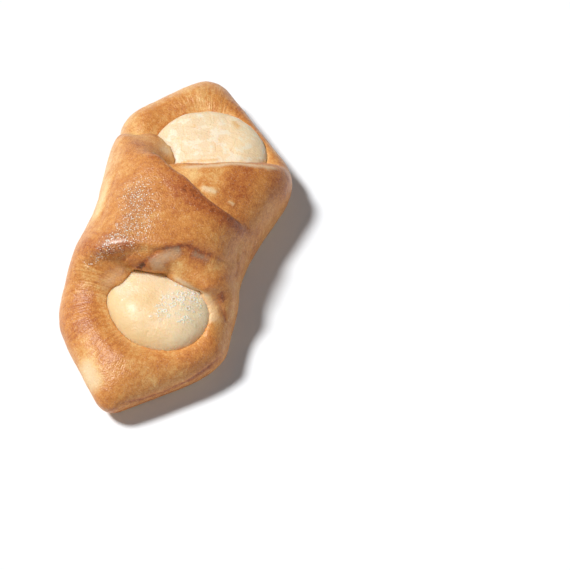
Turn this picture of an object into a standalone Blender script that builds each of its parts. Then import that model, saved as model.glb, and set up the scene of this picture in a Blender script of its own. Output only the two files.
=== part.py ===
"""Cheese danish: a square of sweet yeast dough with two opposite corners folded over a strip of curd cheese.

The frame is the pastry's own: +Y runs along it towards the far tip, +X to the right, +Z up. The origin is the
middle of its box, on the surface that it rests on. Sizes are written in millimetres times MM.
The dough is one solid: a base pillow, the right flap and the left flap over it, fused, with a tunnel for the
filling. The filling is one solid that runs through the tunnel and swells out of both openings.
"""

import math

import bmesh
import bpy
import numpy as np
from mathutils import Matrix, Vector

MM = 0.001
SIZE = (59.4 * MM, 126.3 * MM, 30.6 * MM)  # the finished pastry's box

# Plan outline of the base at half its wall's height: each corner with how far its rounding reaches.
OUTLINE = [
    (-7 * MM, 68.7 * MM, 8 * MM),
    (31 * MM, 33.5 * MM, 10 * MM),
    (21.5 * MM, -3.5 * MM, 24 * MM),
    (26.2 * MM, -22 * MM, 12 * MM),
    (26.2 * MM, -38.5 * MM, 13 * MM),
    (-3.4 * MM, -62.8 * MM, 6 * MM),
    (-29 * MM, -34.3 * MM, 15 * MM),
    (-28.6 * MM, -18 * MM, 12 * MM),
    (-26.2 * MM, 2 * MM, 22 * MM),
    (-31.8 * MM, 42 * MM, 10 * MM),
    (-21.9 * MM, 53.5 * MM, 10 * MM),
]
CORNER_STEPS = 8
OUTLINE_POINTS = 360

# Base pillow
WALL_MIDDLE = 8 * MM  # height where the side wall stands furthest out
SOLE_ROUND = 7 * MM  # how far in from the outline the flat sole starts
SOLE_FLAT = 0.5 * MM  # dough below this height rests flat on the surface
RIM_ROUND = 14 * MM  # how far in from the outline the top reaches its full height
RIM_HEIGHT = 17 * MM
BASIN_FLOOR = 13 * MM
BASIN_SLOPE = 0.75  # the basin's side, as a share of the cheese's size there

# Filling: two swellings joined by a strip, each with its middle, half sizes, turn in plan and crown (see ellipsoid)
LOWER_CHEESE = {
    "middle": (2.8 * MM, -25.2 * MM, 11.6 * MM),
    "half": (17.6 * MM, 15.4 * MM, 8.2 * MM),
    "turn": math.radians(-35),
    "crown": 2.6,
}
UPPER_CHEESE = {
    "middle": (1.4 * MM, 32.8 * MM, 11.9 * MM),
    "half": (18.9 * MM, 17.4 * MM, 8.1 * MM),
    "turn": math.radians(-20),
    "crown": 2.6,
}
STRIP = {
    "middle": (0.5 * MM, 4 * MM, 13.5 * MM),
    "half": (15 * MM, 32 * MM, 7.5 * MM),
    "turn": 0.0,
    "crown": 2,
}
FILLING_GAP = 0.35 * MM

# Flaps: sheets over the filling, on an arch in X and Z. Their edges are heights in Y at even steps from root to end.
LEFT_FLAP = {
    "side": -1,
    "thick": 7 * MM,
    "taper": 0.5,
    "rim_swell": 0.25,
    "proud": 0.3 * MM,
    "arch_foot": 9 * MM,
    "arch_top": (27.5 * MM, 28 * MM, 28 * MM),
    "sweep": (math.radians(-20), math.radians(172)),
    "near_edge": (-35 * MM, -28 * MM, -21.5 * MM, -18 * MM, -13.5 * MM, -10.5 * MM, -8 * MM),
    "far_edge": (36 * MM, 33.5 * MM, 27 * MM, 17.5 * MM, 7.5 * MM, 5.5 * MM, 7 * MM),
}
RIGHT_FLAP = {
    "side": 1,
    "thick": 6.5 * MM,
    "taper": 1,
    "rim_swell": 0,
    "proud": 0,
    "arch_foot": 8 * MM,
    "arch_top": (22.5 * MM, 22.5 * MM, 22 * MM),
    "sweep": (math.radians(-20), math.radians(125)),
    "near_edge": (-26 * MM, -23.5 * MM, -21 * MM, -20 * MM, -15 * MM, -11 * MM),
    "far_edge": (36 * MM, 35 * MM, 31.5 * MM, 26.5 * MM, 21 * MM, 16 * MM),
}
GATHERS = [  # dough gathered beside and over the filling, inside the folds: middle, half sizes and turn in plan
    ((-18.5 * MM, -14 * MM, 14.5 * MM), (7.5 * MM, 13 * MM, 8 * MM), 0),
    ((-4.5 * MM, -13.5 * MM, 22.5 * MM), (13.5 * MM, 6 * MM, 6 * MM), 0),
    ((-17 * MM, 20.5 * MM, 14.5 * MM), (9 * MM, 14 * MM, 10 * MM), 0),
    ((-10 * MM, 25.5 * MM, 16.3 * MM), (4.8 * MM, 6 * MM, 3.6 * MM), 0),
    ((-13.5 * MM, -19 * MM, 16 * MM), (7 * MM, 6.5 * MM, 5 * MM), 0),
    ((9.8 * MM, -14.5 * MM, 17.5 * MM), (9.5 * MM, 6 * MM, 7.6 * MM), 0),
    ((16 * MM, -22 * MM, 12.5 * MM), (4 * MM, 4.5 * MM, 4.4 * MM), 0),
    ((19.3 * MM, -27.5 * MM, 11.5 * MM), (3 * MM, 8 * MM, 3.9 * MM), math.radians(22)),
]
MELTS = [  # places where a flap runs out into the base: x, y, z, reach
    (-24 * MM, -26 * MM, 16 * MM, 15 * MM),
    (26 * MM, -26 * MM, 12 * MM, 10 * MM),
    (-30 * MM, 33 * MM, 12 * MM, 8 * MM),
    (-16 * MM, 24 * MM, 22 * MM, 12 * MM),
    (12 * MM, -14.5 * MM, 24 * MM, 8 * MM),
    (-24 * MM, 26 * MM, 17 * MM, 7 * MM),
    (-15.5 * MM, -21.5 * MM, 20 * MM, 7 * MM),
    (20 * MM, -23 * MM, 15 * MM, 7 * MM),
]
ARCH_POWER = 0.8  # under 1 gives fuller shoulders than an ellipse
EDGE_ROUND = 10  # power of the flaps' thickness towards their edges
PLAN_ROUND = 8  # power of the flaps' corners in plan

SMOOTHING = 4  # rounds over the whole skin
MELTING = 45  # rounds of smoothing at the melts for the CAD's voxel size
VOXEL = 2.35 * MM
FILLING_VOXEL = 2.45 * MM

CRUST_COLOUR = (0.62, 0.30, 0.11, 1)
CHEESE_COLOUR = (0.90, 0.72, 0.44, 1)


def clear_scene():
    for old in list(bpy.data.objects):
        bpy.data.objects.remove(old)


def material(name, colour, roughness):
    made = bpy.data.materials.new(name)
    made.use_nodes = True
    shader = made.node_tree.nodes["Principled BSDF"]
    shader.inputs["Base Color"].default_value = colour
    shader.inputs["Roughness"].default_value = roughness
    return made


def new_object(name, bm):
    mesh = bpy.data.meshes.new(name)
    bmesh.ops.recalc_face_normals(bm, faces=bm.faces)
    bm.to_mesh(mesh)
    bm.free()
    made = bpy.data.objects.new(name, mesh)
    bpy.context.scene.collection.objects.link(made)
    return made


def rounded_outline():
    """The plan outline as points, each corner turned into a short curve."""
    points = []
    corners = [Vector((x, y)) for x, y, _ in OUTLINE]
    count = len(corners)
    for i, corner in enumerate(corners):
        reach = OUTLINE[i][2]
        before = corners[i - 1] - corner
        after = corners[(i + 1) % count] - corner
        start = corner + before.normalized() * min(reach, before.length / 2)
        end = corner + after.normalized() * min(reach, after.length / 2)
        for step in range(CORNER_STEPS + 1):
            t = step / CORNER_STEPS
            points.append(start * (1 - t) ** 2 + corner * (2 * t * (1 - t)) + end * t**2)
    corner_points = np.array([[p.x, p.y] for p in points + points[:1]])
    run = np.concatenate([[0], np.cumsum(np.linalg.norm(np.diff(corner_points, axis=0), axis=1))])
    even = np.linspace(0, run[-1], OUTLINE_POINTS, endpoint=False)
    return np.stack([np.interp(even, run, corner_points[:, axis]) for axis in (0, 1)], 1)


def distance_to(outline, places):
    """How far each place in plan is from the outline."""
    ends = np.roll(outline, -1, axis=0)
    along = ends - outline
    offset = places[:, None, :] - outline[None, :, :]
    length = np.maximum((along**2).sum(1), 1e-18)
    share = np.clip((offset * along).sum(2) / length, 0, 1)
    return np.sqrt(((offset - share[:, :, None] * along) ** 2).sum(2)).min(1)


def swelling_share(swelling, places):
    """Distance from a swelling's middle in plan: 1 on its widest line."""
    turn = swelling["turn"]
    x = places[:, 0] - swelling["middle"][0]
    y = places[:, 1] - swelling["middle"][1]
    along = x * math.cos(turn) + y * math.sin(turn)
    across = y * math.cos(turn) - x * math.sin(turn)
    return np.hypot(along / swelling["half"][0], across / swelling["half"][1])


def quarter_round(distance, reach):
    """0 at the outline, rising on a quarter of a circle to 1 at this reach."""
    share = 1 - np.clip(distance / reach, 0, 1)
    return np.sqrt(1 - share**2)


def smooth_step(value):
    value = np.clip(value, 0, 1)
    return value * value * (3 - 2 * value)


def wall_at(outline, y, side):
    """Where the outline's left (-1) or right (1) side stands in X at this Y."""
    near, far = outline[:, 1].argmin(), outline[:, 1].argmax()
    low, high = sorted((near, far))
    right = outline[low : high + 1]
    left = np.concatenate([outline[high:], outline[: low + 1]])
    line = right if side > 0 else left
    order = np.argsort(line[:, 1])
    return np.interp(y, line[order, 1], line[order, 0])


def base_pillow():
    """The dough under the filling: flat sole, rounded wall, a raised rim and a basin under each swelling."""
    outline = rounded_outline()
    angles = np.arctan2(outline[:, 1], outline[:, 0])
    order = np.argsort(angles)
    radii = np.hypot(outline[:, 0], outline[:, 1])[order]
    bm = bmesh.new()
    bmesh.ops.create_uvsphere(bm, u_segments=120, v_segments=60, radius=1)
    unit = np.array([v.co for v in bm.verts])
    angle = np.arctan2(unit[:, 1], unit[:, 0])
    reach = np.interp(angle, angles[order], radii, period=2 * math.pi)
    share = np.minimum(np.hypot(unit[:, 0], unit[:, 1]), 1)
    places = np.stack([np.cos(angle), np.sin(angle)], 1) * (reach * share)[:, None]
    inside = np.where(share > 0.9999, 0, distance_to(outline, places))
    sole = WALL_MIDDLE * (1 - quarter_round(inside, SOLE_ROUND))
    rise = np.ones(len(places))
    for side in (-1, 1):
        wall = wall_at(outline, places[:, 1], side)
        slope = (wall_at(outline, places[:, 1] + MM, side) - wall_at(outline, places[:, 1] - MM, side)) / (2 * MM)
        rise *= quarter_round((wall - places[:, 0]) * side / np.sqrt(1 + slope**2), RIM_ROUND)
    top = WALL_MIDDLE + (RIM_HEIGHT - WALL_MIDDLE) * rise
    for swelling in (LOWER_CHEESE, UPPER_CHEESE):
        hollow = 1 - smooth_step((swelling_share(swelling, places) - 0.7) / BASIN_SLOPE)
        top = top + (BASIN_FLOOR - top) * np.where(top > BASIN_FLOOR, hollow, 0)
    height = np.where(unit[:, 2] > 1e-6, top, sole)
    height = np.where(np.abs(unit[:, 2]) <= 1e-6, WALL_MIDDLE, height)
    for vertex, place, z in zip(bm.verts, places, height):
        vertex.co = (place[0], place[1], z)
    return new_object("base_pillow", bm)


def through(values, share):
    """A smooth curve through values at even steps, read at share from 0 to 1."""
    steps = np.linspace(0, 1, len(values))
    slopes = np.gradient(np.array(values), steps)
    i = np.clip((np.asarray(share) * (len(values) - 1)).astype(int), 0, len(values) - 2)
    width = steps[1]
    t = (share - steps[i]) / width
    low, high = np.array(values)[i], np.array(values)[i + 1]
    return (
        low * (1 + 2 * t) * (1 - t) ** 2
        + slopes[i] * width * t * (1 - t) ** 2
        + high * t**2 * (3 - 2 * t)
        + slopes[i + 1] * width * t**2 * (t - 1)
    )


def flap_middle(flap, along, across):
    """Points of the flap's middle surface: along runs from root to end, across from near edge to far edge, 0 to 1."""
    angle = flap["sweep"][0] + (flap["sweep"][1] - flap["sweep"][0]) * along
    near, far = through(flap["near_edge"], along), through(flap["far_edge"], along)
    y = near + (far - near) * across
    outline = rounded_outline()
    inset = flap["side"] * (flap["thick"] / 2 - flap["proud"])
    root = wall_at(outline, y, flap["side"]) - inset
    end = wall_at(outline, y, -flap["side"]) + inset
    centre, half = (root + end) / 2, (end - root) / 2
    top = through(flap["arch_top"], across)
    cos, sin = np.cos(angle), np.sin(angle)
    x = centre - half * np.sign(cos) * np.abs(cos) ** ARCH_POWER
    rise = np.sign(sin) * np.abs(sin) ** ARCH_POWER
    z = flap["arch_foot"] + (top - flap["arch_foot"]) * rise
    return np.stack([x, y, z], -1)


def flap_sheet(name, flap):
    """A flap as two grids welded at their borders, a rounded thickness apart."""
    bm = bmesh.new()
    sides = []
    for _ in range(2):
        sides.append(bmesh.ops.create_grid(bm, x_segments=64, y_segments=40, size=1)["verts"])
    turn = -flap["side"]
    for side, verts in zip((1, -1), sides):
        flat = np.array([v.co[:2] for v in verts])
        even = np.sin(flat * math.pi / 2)
        largest = np.abs(even).max(1)
        power = (np.abs(even) ** PLAN_ROUND).sum(1) ** (1 / PLAN_ROUND)
        even = even * np.where(power > 0, largest / np.maximum(power, 1e-9), 1)[:, None]
        along, across = (even[:, 0] + 1) / 2, (even[:, 1] + 1) / 2
        middle = flap_middle(flap, along, across)
        step = 1e-3
        by_along = flap_middle(flap, along + step, across) - flap_middle(flap, along - step, across)
        by_across = flap_middle(flap, along, across + step) - flap_middle(flap, along, across - step)
        normal = np.cross(by_along, by_across) * turn
        normal /= np.maximum(np.linalg.norm(normal, axis=1), 1e-12)[:, None]
        rim = 1 + flap["rim_swell"] * largest**4
        thick = flap["thick"] * (1 + (flap["taper"] - 1) * along)
        thickness = np.sqrt(np.maximum(1 - largest**EDGE_ROUND, 0)) * rim * thick / 2
        for vertex, point in zip(verts, middle + normal * (side * thickness)[:, None]):
            vertex.co = point
    bmesh.ops.remove_doubles(bm, verts=bm.verts, dist=1e-6)
    return new_object(name, bm)


def ellipsoid(name, middle, half, turn=0.0, crown=2):
    """An ellipsoid, whose upper half is flatter in the middle where crown is more than 2."""
    bm = bmesh.new()
    bmesh.ops.create_uvsphere(bm, u_segments=48, v_segments=24, radius=1)
    for vertex in bm.verts:
        if vertex.co.z > 0:
            vertex.co.z = math.sqrt(max(1 - vertex.co.xy.length**crown, 0))
    place = Matrix.Translation(middle) @ Matrix.Rotation(turn, 4, "Z")
    bmesh.ops.transform(bm, matrix=place @ Matrix.Diagonal((*half, 1)), verts=bm.verts)
    return new_object(name, bm)


def apply_modifiers(obj):
    graph = bpy.context.evaluated_depsgraph_get()
    mesh = bpy.data.meshes.new_from_object(obj.evaluated_get(graph))
    obj.modifiers.clear()
    obj.data = mesh
    return obj


def fuse(name, pieces, voxel, smoothing, melts=()):
    """The pieces joined and remeshed into one closed skin, then smoothed, and more so at the melts."""
    bm = bmesh.new()
    for piece in pieces:
        bm.from_mesh(piece.data)
        bpy.data.objects.remove(piece)
    mesh = bpy.data.meshes.new(name)
    bm.to_mesh(mesh)
    bm.free()
    made = bpy.data.objects.new(name, mesh)
    bpy.context.scene.collection.objects.link(made)
    remesh = made.modifiers.new("skin", "REMESH")
    remesh.mode = "VOXEL"
    remesh.voxel_size = voxel
    smooth = made.modifiers.new("smooth", "SMOOTH")
    smooth.factor = 0.5
    smooth.iterations = smoothing
    apply_modifiers(made)
    if melts:
        weights = made.vertex_groups.new(name="melt")
        for vertex in made.data.vertices:
            share = [1 - (vertex.co - Vector(melt[:3])).length / melt[3] for melt in melts]
            if max(share) > 0:
                weights.add([vertex.index], float(smooth_step(max(share))), "REPLACE")
        melt = made.modifiers.new("melt", "SMOOTH")
        melt.factor = 0.5
        melt.iterations = int(MELTING * (2.3 * MM / voxel) ** 2)
        melt.vertex_group = "melt"
        apply_modifiers(made)
        made.vertex_groups.clear()
    return made


def filling(name, grow, voxel):
    bodies = [
        ellipsoid("swelling", each["middle"], [size + grow for size in each["half"]], each["turn"], each["crown"])
        for each in (LOWER_CHEESE, UPPER_CHEESE, STRIP)
    ]
    return fuse(name, bodies, voxel, SMOOTHING)


def dough():
    pieces = [base_pillow(), flap_sheet("right_flap", RIGHT_FLAP), flap_sheet("left_flap", LEFT_FLAP)]
    pieces += [ellipsoid("gather", middle, half, turn) for middle, half, turn in GATHERS]
    made = fuse("dough", pieces, VOXEL, SMOOTHING, MELTS)
    for vertex in made.data.vertices:
        if vertex.co.z < SOLE_FLAT:
            vertex.co.z = 0
    return made


def fit(crust, others):
    """Bring everything to the pastry's real size, with the middle of its box over the origin."""
    corners = np.array([v.co for v in crust.data.vertices])
    low, high = corners.min(0), corners.max(0)
    place = Matrix.Translation((-(low[0] + high[0]) / 2, -(low[1] + high[1]) / 2, -low[2]))
    scale = Matrix.Diagonal((*[size / (h - l) for size, l, h in zip(SIZE, low, high)], 1))
    for obj in (crust, *others):
        obj.data.transform(scale @ place)


def main():
    clear_scene()
    crust = dough()
    cheese = filling("cheese_filling", 0.0, FILLING_VOXEL)
    cutter = filling("filling_room", FILLING_GAP, FILLING_VOXEL)
    fit(crust, [cheese, cutter])
    cutter.hide_render = True
    cutter.display_type = "WIRE"
    cut = crust.modifiers.new("tunnel", "BOOLEAN")
    cut.operation = "DIFFERENCE"
    cut.solver = "EXACT"
    cut.object = cutter
    crust.data.materials.append(material("crust", CRUST_COLOUR, 0.5))
    cheese.data.materials.append(material("cheese", CHEESE_COLOUR, 0.6))


main()
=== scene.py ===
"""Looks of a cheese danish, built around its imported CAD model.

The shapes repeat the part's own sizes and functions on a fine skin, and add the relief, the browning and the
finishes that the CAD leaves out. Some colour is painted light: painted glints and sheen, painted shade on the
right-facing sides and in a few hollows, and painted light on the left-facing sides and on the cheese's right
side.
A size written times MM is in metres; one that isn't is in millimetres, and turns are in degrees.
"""

import logging
import math
from dataclasses import dataclass, field
from enum import Enum

import bmesh
import bpy
import numpy as np
from mathutils import Matrix, Vector, noise
from mathutils.kdtree import KDTree


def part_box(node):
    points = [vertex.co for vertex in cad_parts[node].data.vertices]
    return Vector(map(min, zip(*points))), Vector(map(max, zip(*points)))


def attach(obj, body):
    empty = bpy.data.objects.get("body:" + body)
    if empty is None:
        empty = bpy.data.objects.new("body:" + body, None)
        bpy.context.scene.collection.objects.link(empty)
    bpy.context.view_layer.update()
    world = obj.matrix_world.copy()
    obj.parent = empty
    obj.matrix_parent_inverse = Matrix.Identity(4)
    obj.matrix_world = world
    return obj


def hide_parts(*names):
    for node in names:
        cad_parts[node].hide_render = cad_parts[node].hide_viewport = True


MM = 0.001
SHIFT = Vector((0.71 * MM, -2.55 * MM, 0))  # from the shapes' own origin to the part's frame
Point = tuple[float, float, float]
Colour = tuple[float, float, float, float]
Piece = bpy.types.Object
Socket = bpy.types.NodeSocket
log = logging.getLogger("cheese_danish")
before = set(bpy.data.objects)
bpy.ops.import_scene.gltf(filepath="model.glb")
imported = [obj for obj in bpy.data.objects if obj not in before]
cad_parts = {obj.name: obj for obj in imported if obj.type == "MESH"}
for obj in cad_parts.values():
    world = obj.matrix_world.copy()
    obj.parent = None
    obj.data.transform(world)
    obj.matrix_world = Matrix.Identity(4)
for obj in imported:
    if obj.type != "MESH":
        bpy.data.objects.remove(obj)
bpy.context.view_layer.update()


class Fold(Enum):
    """Which side of the base a flap is folded over from."""

    LEFT = -1
    RIGHT = 1


def smooth_step(value: np.ndarray) -> np.ndarray:
    """Ease a share from 0 to 1, flat at both ends."""
    value = np.clip(value, 0, 1)
    return value * value * (3 - 2 * value)


def climb(length: np.ndarray, start: float, end: float) -> np.ndarray:
    """Ease lengths in metres from 0 at a start to 1 at an end, both in millimetres."""
    return smooth_step((length - start * MM) / ((end - start) * MM))


def quarter_round(distance: np.ndarray, reach: float) -> np.ndarray:
    """Rise on a quarter of a circle from 0 at no distance to 1 at this reach."""
    share = 1 - np.clip(distance / reach, 0, 1)
    return np.sqrt(1 - share**2)


def bell(distance: np.ndarray, reach: float) -> np.ndarray:
    """Fall softly from 1 at no distance towards 0 past this reach."""
    return np.exp(-((distance / reach) ** 2))


def even_points(line: np.ndarray, count: int, closed: bool = False) -> np.ndarray:
    """Space points evenly along a line.

    Args:
        line: The line's corners.
        count: How many points there are.
        closed: Whether the line ends where it starts, so that its last point is left off.

    Returns:
        The points.
    """
    run = np.concatenate([[0], np.cumsum(np.linalg.norm(np.diff(line, axis=0), axis=1))])
    even = np.linspace(0, run[-1], count, endpoint=not closed)
    return np.stack([np.interp(even, run, column) for column in line.T], 1)


def through(values: tuple[float, ...], share: np.ndarray) -> np.ndarray:
    """Read a smooth curve through values at even steps.

    Args:
        values: The curve's values at even steps, in millimetres.
        share: Where to read it, from 0 to 1.

    Returns:
        The curve's value at each share, in metres.
    """
    steps = np.linspace(0, 1, len(values))
    heights = np.array(values) * MM
    slopes = np.gradient(heights, steps)
    i = np.clip((np.asarray(share) * (len(values) - 1)).astype(int), 0, len(values) - 2)
    width = steps[1]
    t = (share - steps[i]) / width
    return (
        heights[i] * (1 + 2 * t) * (1 - t) ** 2
        + slopes[i] * width * t * (1 - t) ** 2
        + heights[i + 1] * t**2 * (3 - 2 * t)
        + slopes[i + 1] * width * t**2 * (t - 1)
    )


def crumble(points: np.ndarray, size: float, octaves: int, offset: float) -> np.ndarray:
    """Read layered noise at points.

    Args:
        points: Places in metres.
        size: Size of the largest lumps in metres.
        octaves: How many finer layers are added.
        offset: Shift that makes one pattern differ from another.

    Returns:
        Values around 0, mostly from -1 to 1.
    """
    return np.array([noise.fractal(Vector(p), 1.0, 2.0, octaves) for p in points / size + offset])


def object_from(name: str, bm: bmesh.types.BMesh) -> Piece:
    """Make an object at the origin from a bmesh, its faces pointing outwards.

    Args:
        name: The object's name.
        bm: The shape; it is freed.

    Returns:
        The new object.
    """
    bmesh.ops.recalc_face_normals(bm, faces=bm.faces)
    mesh = bpy.data.meshes.new(name)
    bm.to_mesh(mesh)
    bm.free()
    made = bpy.data.objects.new(name, mesh)
    bpy.context.scene.collection.objects.link(made)
    return made


def with_modifiers_applied(piece: Piece) -> Piece:
    """Bake a piece's modifiers into its mesh.

    Args:
        piece: The piece.

    Returns:
        The same piece.
    """
    graph = bpy.context.evaluated_depsgraph_get()
    piece.data = bpy.data.meshes.new_from_object(piece.evaluated_get(graph))
    piece.modifiers.clear()
    return piece


def ball(middle: Point, half: Point, turn: float = 0, crown: float = 2) -> Piece:
    """Make an ellipsoid.

    Args:
        middle: Its centre.
        half: Its half sizes.
        turn: Its turn about Z.
        crown: Power of the upper half's curve: 2 for a true ellipsoid, more for a flatter crown.

    Returns:
        The ellipsoid.
    """
    bm = bmesh.new()
    bmesh.ops.create_uvsphere(bm, u_segments=72, v_segments=36, radius=1)
    for vert in bm.verts:
        if vert.co.z > 0:
            vert.co.z = math.sqrt(max(1 - vert.co.xy.length**crown, 0))
    place = Matrix.Translation([size * MM for size in middle]) @ Matrix.Rotation(math.radians(turn), 4, "Z")
    place = place @ Matrix.Diagonal((*[size * MM for size in half], 1))
    bmesh.ops.transform(bm, matrix=place, verts=bm.verts)
    return object_from("ball", bm)


def fused(name: str, pieces: list[Piece], voxel: float, rounds: int) -> Piece:
    """Join pieces into one closed skin of small even faces.

    Args:
        name: The new object's name.
        pieces: What is joined; these objects are removed.
        voxel: Size of the skin's faces.
        rounds: Rounds of smoothing.

    Returns:
        The fused object.
    """
    bm = bmesh.new()
    for piece in pieces:
        bm.from_mesh(piece.data)
        bpy.data.objects.remove(piece)
    made = object_from(name, bm)
    remesh = made.modifiers.new("skin", "REMESH")
    remesh.mode = "VOXEL"
    remesh.voxel_size = voxel
    smooth = made.modifiers.new("smooth", "SMOOTH")
    smooth.factor = 0.5
    smooth.iterations = rounds
    return with_modifiers_applied(made)


def dressed(piece: Piece, material: bpy.types.Material) -> Piece:
    """Shade a piece smoothly and give it its material.

    Args:
        piece: The piece.
        material: Its only material.

    Returns:
        The same piece.
    """
    for face in piece.data.polygons:
        face.use_smooth = True
    piece.data.materials.clear()
    piece.data.materials.append(material)
    return piece


def rows_of(items: bpy.types.bpy_prop_collection, key: str, width: int, kind: type = float) -> np.ndarray:
    """Read one property of a mesh's items.

    Args:
        items: The items.
        key: The property.
        width: How many numbers each item has.
        kind: The numbers' type.

    Returns:
        One row for each item.
    """
    rows = np.empty(len(items) * width, kind)
    items.foreach_get(key, rows)
    return rows.reshape(-1, width)


class Skin:
    """A fine mesh as arrays: its points, normals and neighbours."""

    def __init__(self, piece: Piece) -> None:
        """Read a mesh.

        Args:
            piece: The piece whose mesh is read.
        """
        self.mesh = piece.data
        self.edges = rows_of(self.mesh.edges, "vertices", 2, np.int32)
        self.points = rows_of(self.mesh.vertices, "co", 3)
        self.degree = np.maximum(np.bincount(self.edges.ravel(), minlength=len(self.points)), 1)
        self.normals = rows_of(self.mesh.vertex_normals, "vector", 3)

    def relaxed(self, values: np.ndarray, rounds: int, weight: np.ndarray | float = 1.0) -> np.ndarray:
        """Spread rows of values over the skin, each towards its neighbours' mean.

        Args:
            values: One row for each point.
            rounds: How often it is done.
            weight: How strongly each point takes part, 0 to 1.

        Returns:
            The softened rows.
        """
        rows = values.copy()
        first, second = self.edges.T
        share = np.broadcast_to(np.asarray(weight, float) * 0.5, len(rows))[:, None]
        for _ in range(rounds):
            sums = [
                np.bincount(first, column[second], len(rows)) + np.bincount(second, column[first], len(rows))
                for column in rows.T
            ]
            rows += (np.stack(sums, 1) / self.degree[:, None] - rows) * share
        return rows

    def bulge(self, rounds: int) -> np.ndarray:
        """How far each point stands proud of its surroundings: above 0 on ridges, below 0 in creases."""
        return ((self.points - self.relaxed(self.points, rounds)) * self.normals).sum(1)

    def move(self, points: np.ndarray) -> None:
        """Put the mesh's points in other places.

        Args:
            points: One place for each point.
        """
        self.points = points
        self.mesh.vertices.foreach_set("co", points.ravel())
        self.mesh.update()
        self.normals = rows_of(self.mesh.vertex_normals, "vector", 3)

    def raise_by(self, height: np.ndarray) -> None:
        """Move each point along its normal by this height."""
        self.move(self.points + self.normals * height[:, None])

    def store(self, name: str, values: np.ndarray) -> None:
        """Keep values as a named attribute of the mesh.

        Args:
            name: The attribute's name.
            values: One value or vector for each point.
        """
        kind, key = ("FLOAT", "value") if values.ndim == 1 else ("FLOAT_VECTOR", "vector")
        attribute = self.mesh.attributes.new(name, kind, "POINT")
        attribute.data.foreach_set(key, values.astype(np.float32).ravel())

    def distance_to(self, places: np.ndarray) -> np.ndarray:
        """Measure how far each point is from the nearest of some places.

        Args:
            places: The places.

        Returns:
            One distance for each point.
        """
        tree = KDTree(len(places))
        for i, place in enumerate(places):
            tree.insert(place, i)
        tree.balance()
        return np.array([tree.find(p)[2] for p in self.points])


@dataclass(frozen=True)
class Mark:
    """A line or spot on a skin: its points in the part's frame, its reach, and what it does there."""

    points: tuple[Point, ...]
    reach: float
    lift: float = 0
    # bake: how much browner; in a few marks it stands for painted shade.
    bake: float = 0
    gloss: float = 0
    pale: float = 0
    fade: float = 0.2
    ragged: float = 0.25
    step: float = 0.4 * MM
    margin: float = 2.6
    rough_size: float = 1.6 * MM

    def weight(self, places: np.ndarray) -> np.ndarray:
        """How strongly the mark is felt at each place.

        Args:
            places: Points in metres.

        Returns:
            Weights from 0 to 1.
        """
        corners = np.array(self.points) * MM
        length = np.linalg.norm(np.diff(corners, axis=0), axis=1).sum()
        line = even_points(corners, max(int(length / self.step), 2))
        share = np.linspace(0, 1, len(line))
        reach = self.reach * MM
        margin = self.margin * reach
        near = np.all((places > line.min(0) - margin) & (places < line.max(0) + margin), axis=1)
        found = np.zeros(len(places))
        if near.any():
            away = np.linalg.norm(places[near][:, None, :] - line[None, :, :], axis=2)
            rough = crumble(places[near], self.rough_size, 2, self.reach * 3.3) * self.ragged
            to_end = np.minimum(share, 1 - share)[away.argmin(1)]
            found[near] = bell(away.min(1) * (1 + rough), reach) * smooth_step(to_end / self.fade + 0.15)
        return found


def felt(marks: dict[str, Mark], points: np.ndarray, effect: str, join: np.ufunc = np.maximum) -> np.ndarray:
    """Bring one effect of several marks together.

    Args:
        marks: The marks.
        points: Where they are felt.
        effect: The name of the effect.
        join: How two marks' effects on a point are joined.

    Returns:
        The effect at each point.
    """
    found = np.zeros(len(points))
    for mark in marks.values():
        amount = getattr(mark, effect)
        if amount:
            found = join(found, mark.weight(points) * amount)
    return found


@dataclass
class Outline:
    """The plan outline of the base's wall: each corner with how far its rounding reaches."""

    corners: tuple[Point, ...] = (
        (-7, 68.7, 8),
        (31, 33.5, 10),
        (21.5, -3.5, 24),
        (26.2, -22, 12),
        (26.2, -38.5, 13),
        (-3.4, -62.8, 6),
        (-29, -34.3, 15),
        (-28.6, -18, 12),
        (-26.2, 2, 22),
        (-31.8, 42, 10),
        (-21.9, 53.5, 10),
    )
    corner_steps: int = 8
    count: int = 360
    line: np.ndarray = field(init=False, repr=False)

    def __post_init__(self) -> None:
        """Turn each corner into a short curve and space the line's points evenly."""
        corners = [Vector((x * MM, y * MM)) for x, y, _ in self.corners]
        points = []
        for i, corner in enumerate(corners):
            reach = self.corners[i][2] * MM
            before = corners[i - 1] - corner
            after = corners[(i + 1) % len(corners)] - corner
            start = corner + before.normalized() * min(reach, before.length / 2)
            end = corner + after.normalized() * min(reach, after.length / 2)
            for step in range(self.corner_steps + 1):
                t = step / self.corner_steps
                points.append(start * (1 - t) ** 2 + corner * (2 * t * (1 - t)) + end * t**2)
        self.line = even_points(np.array([[p.x, p.y] for p in points + points[:1]]), self.count, closed=True)

    def distance(self, places: np.ndarray) -> np.ndarray:
        """Measure how far places in plan are from the outline.

        Args:
            places: The places.

        Returns:
            One distance for each place.
        """
        along = np.roll(self.line, -1, axis=0) - self.line
        offset = places[:, None, :] - self.line[None, :, :]
        length = np.maximum((along**2).sum(1), 1e-18)
        share = np.clip((offset * along).sum(2) / length, 0, 1)
        return np.sqrt(((offset - share[:, :, None] * along) ** 2).sum(2)).min(1)

    def wall(self, y: np.ndarray, side: int) -> np.ndarray:
        """Find where the outline's wall stands.

        Args:
            y: Where along the pastry.
            side: -1 for the left wall, 1 for the right one.

        Returns:
            The wall's place in X at each Y.
        """
        low, high = sorted((self.line[:, 1].argmin(), self.line[:, 1].argmax()))
        right = self.line[low : high + 1]
        left = np.concatenate([self.line[high:], self.line[: low + 1]])
        line = right if side > 0 else left
        order = np.argsort(line[:, 1])
        return np.interp(y, line[order, 1], line[order, 0])


OUTLINE = Outline()


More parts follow.
